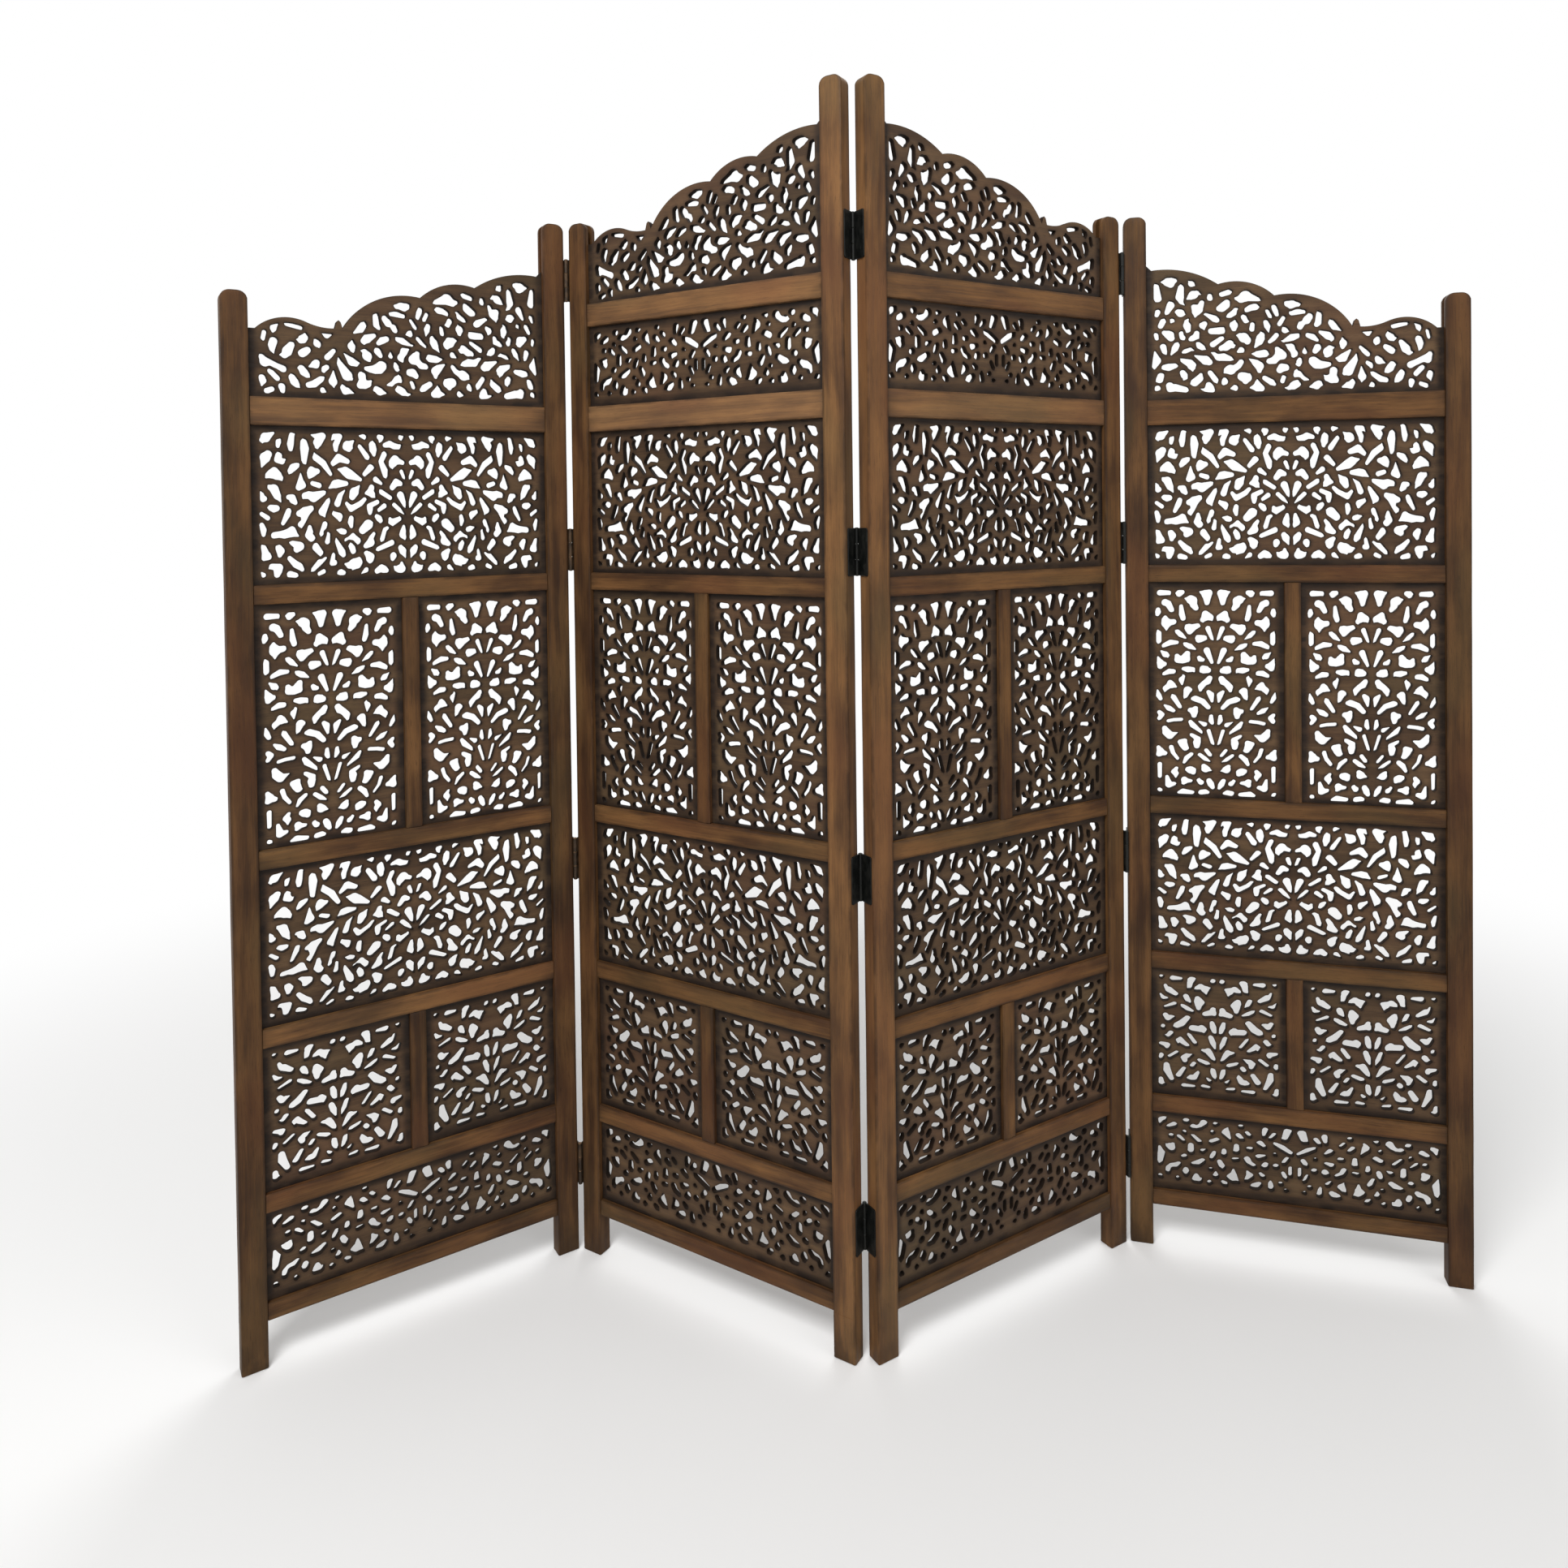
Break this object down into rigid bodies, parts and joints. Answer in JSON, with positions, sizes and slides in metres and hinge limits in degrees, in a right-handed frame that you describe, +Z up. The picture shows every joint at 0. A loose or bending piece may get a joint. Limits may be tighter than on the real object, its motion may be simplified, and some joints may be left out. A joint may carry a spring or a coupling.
{
  "type": "folding screen",
  "caption": "Free-standing wooden folding screen of hinged leaves in stepped heights, with pierced floral fretwork plates in grooved frames under scalloped crests.",
  "frame": {"origin": "on the floor, at the middle of the open screen's overall width and depth", "axes": "+Z up, +X along the open screen from its left leaf to its right leaf as seen from the front, +Y from the front to the back"},
  "size_m": [1.8532, 0.2982, 1.829],
  "materials": {
    "frame_wood": "brown-stained mango wood, satin lacquer, straight grain with dark streaks",
    "fret_wood": "greyer brown stain, satin lacquer, dark cut edges",
    "hinge_steel": "black lacquered steel, semi-matte",
    "left_hinge_steel": "steel stained over dark brown with the wood"
  },
  "bodies": {
    "outer_left_leaf": {"left_fold_hinge_pins": "hinge_steel", "left_fold_hinge_plates_left": "left_hinge_steel", "outer_left_bottom_rail": "frame_wood", "outer_left_crest_fret": "fret_wood", "outer_left_cross_rails": "frame_wood", "outer_left_long_stile": "frame_wood", "outer_left_mullions": "frame_wood", "outer_left_short_stile": "frame_wood", "outer_left_shoulder_rail": "frame_wood", "outer_left_small_frets": "fret_wood", "outer_left_strip_frets": "fret_wood", "outer_left_tall_frets": "fret_wood", "outer_left_wide_frets": "fret_wood"},
    "inner_left_leaf": {"centre_fold_hinge_pins": "hinge_steel", "centre_fold_hinge_plates_left": "hinge_steel", "inner_left_bottom_rail": "frame_wood", "inner_left_crest_fret": "fret_wood", "inner_left_crest_rail": "frame_wood", "inner_left_cross_rails": "frame_wood", "inner_left_long_stile": "frame_wood", "inner_left_mullions": "frame_wood", "inner_left_short_stile": "frame_wood", "inner_left_shoulder_rail": "frame_wood", "inner_left_small_frets": "fret_wood", "inner_left_strip_frets": "fret_wood", "inner_left_tall_frets": "fret_wood", "inner_left_wide_frets": "fret_wood", "left_fold_hinge_plates_right": "left_hinge_steel"},
    "inner_right_leaf": {"centre_fold_hinge_plates_right": "hinge_steel", "inner_right_bottom_rail": "frame_wood", "inner_right_crest_fret": "fret_wood", "inner_right_crest_rail": "frame_wood", "inner_right_cross_rails": "frame_wood", "inner_right_long_stile": "frame_wood", "inner_right_mullions": "frame_wood", "inner_right_short_stile": "frame_wood", "inner_right_shoulder_rail": "frame_wood", "inner_right_small_frets": "fret_wood", "inner_right_strip_frets": "fret_wood", "inner_right_tall_frets": "fret_wood", "inner_right_wide_frets": "fret_wood", "right_fold_hinge_pins": "hinge_steel", "right_fold_hinge_plates_left": "hinge_steel"},
    "outer_right_leaf": {"outer_right_bottom_rail": "frame_wood", "outer_right_crest_fret": "fret_wood", "outer_right_cross_rails": "frame_wood", "outer_right_long_stile": "frame_wood", "outer_right_mullions": "frame_wood", "outer_right_short_stile": "frame_wood", "outer_right_shoulder_rail": "frame_wood", "outer_right_small_frets": "fret_wood", "outer_right_strip_frets": "fret_wood", "outer_right_tall_frets": "fret_wood", "outer_right_wide_frets": "fret_wood", "right_fold_hinge_plates_right": "hinge_steel"}
  },
  "joints": [
    {"name": "left_fold", "type": "hinge", "parent": "inner_left_leaf", "child": "outer_left_leaf", "pos_m": [-0.48109, 0.1219, 0.9], "axis": [0, 0, 1], "range_deg": [-64, 116]},
    {"name": "centre_fold", "type": "hinge", "parent": "inner_left_leaf", "child": "inner_right_leaf", "pos_m": [-0.02771, -0.11817, 0.9], "axis": [0, 0, 1], "range_deg": [-63, 117]},
    {"name": "right_fold", "type": "hinge", "parent": "inner_right_leaf", "child": "outer_right_leaf", "pos_m": [0.42567, 0.1219, 0.9], "axis": [0, 0, 1], "range_deg": [-134, 46]}
  ]
}
